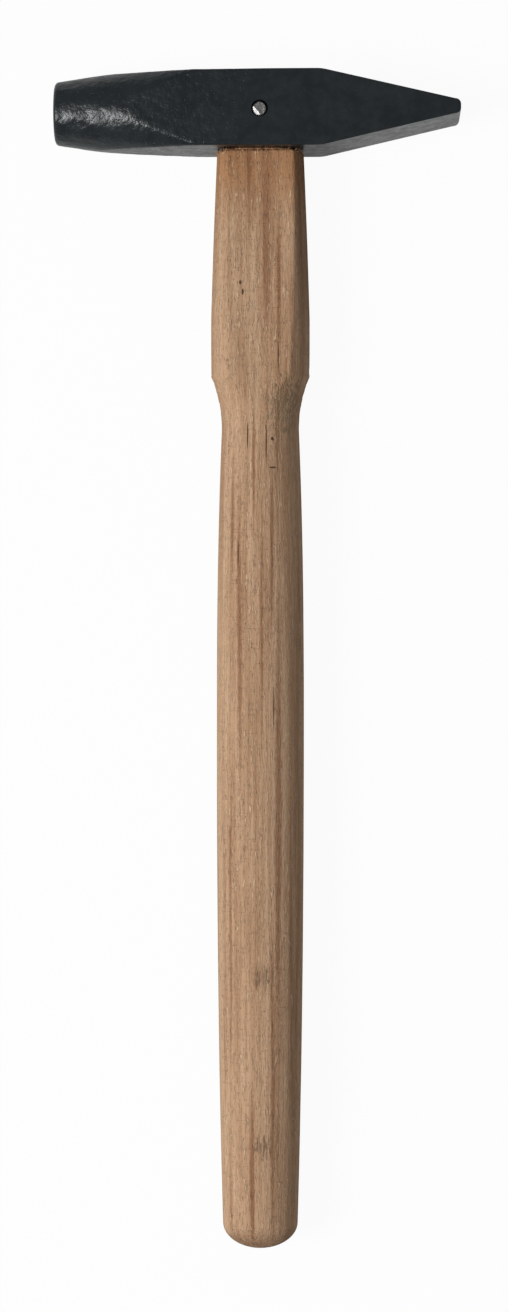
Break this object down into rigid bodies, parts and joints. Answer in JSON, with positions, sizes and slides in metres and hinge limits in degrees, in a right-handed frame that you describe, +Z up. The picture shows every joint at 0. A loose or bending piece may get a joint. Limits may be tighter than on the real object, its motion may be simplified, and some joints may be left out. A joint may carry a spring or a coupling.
{
  "type": "tack hammer",
  "caption": "Small cross-peen tack hammer: forged enamelled head with a round poll and a tapered peen, pinned through its cheeks to a turned wooden handle.",
  "frame": {"origin": "on the flat cheek that the hammer lies on, straight below the centre of the eye", "axes": "+Z up, out of the upper cheek; +X along the head from the poll to the peen; +Y towards the head's top, so the handle runs towards -Y"},
  "size_m": [0.0854, 0.2472, 0.0184],
  "materials": {
    "head_enamel": "glossy black enamel over forged steel",
    "handle_wood": "bare turned hardwood, lightly oiled by use",
    "wedge_wood": "bare split hardwood, end grain showing",
    "pin_steel": "bright cropped steel wire"
  },
  "bodies": {
    "root": {"head": "head_enamel", "handle": "handle_wood", "wedge": "wedge_wood", "cross_pin": "pin_steel"}
  },
  "joints": []
}
